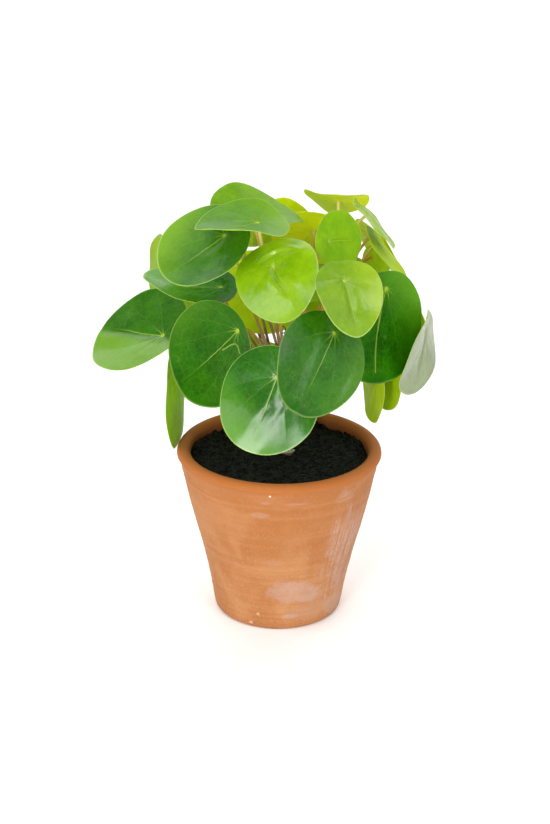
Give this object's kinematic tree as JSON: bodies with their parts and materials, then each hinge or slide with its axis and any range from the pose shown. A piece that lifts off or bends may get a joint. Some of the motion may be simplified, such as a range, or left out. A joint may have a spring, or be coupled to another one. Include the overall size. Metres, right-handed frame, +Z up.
{
  "type": "potted pilea plant",
  "caption": "Round-leaved potted pilea: flat coin-shaped blades on thin stalks from a short trunk, in dark soil in a plain terracotta pot.",
  "frame": {"origin": "centre of the pot's flat base, on the surface it stands on", "axes": "+Z up along the pot's axis; -Y towards the viewer of the picture; +X to the viewer's right"},
  "size_m": [0.2176, 0.2043, 0.2817],
  "materials": {
    "terracotta": "matte, unglazed, with pale lime bloom",
    "peat": "matte, crumbly",
    "stalk": "satin",
    "pale_scale": "satin, thin",
    "leaf": "glossy",
    "leaf_bright": "glossy"
  },
  "bodies": {
    "root": {"pot": "terracotta", "soil": "peat", "trunk_and_stalks": "stalk", "pale_scale": "pale_scale", "leaf_top_left_back": "leaf", "leaf_top_left_front": "leaf", "leaf_upper_left": "leaf", "leaf_far_left_pale": "leaf_bright", "leaf_left_shaded": "leaf", "leaf_left_wide": "leaf", "leaf_left_centre": "leaf", "leaf_front_low": "leaf", "leaf_front_right": "leaf", "leaf_centre_bright": "leaf_bright", "leaf_right_pale": "leaf_bright", "leaf_right_small": "leaf_bright", "leaf_top_right": "leaf_bright", "leaf_back_centre": "leaf_bright", "leaf_back_top": "leaf_bright", "leaf_right_top": "leaf", "leaf_right_upper": "leaf", "leaf_right_upper_back": "leaf_bright", "leaf_right_inner": "leaf", "leaf_right_wide": "leaf", "leaf_far_right": "leaf", "leaf_far_right_back": "leaf", "leaf_low_right": "leaf_bright", "leaf_low_right_back": "leaf_bright", "leaf_low_left": "leaf_bright", "leaf_back_low": "leaf", "leaf_rear_top_left": "leaf", "leaf_rear_left": "leaf", "leaf_rear_mid_left": "leaf", "leaf_rear_centre": "leaf", "leaf_rear_mid_right": "leaf", "leaf_rear_right": "leaf", "leaf_rear_low_centre": "leaf", "leaf_rear_low_right": "leaf", "leaf_rear_low_left": "leaf", "leaf_rear_top": "leaf"}
  },
  "joints": []
}
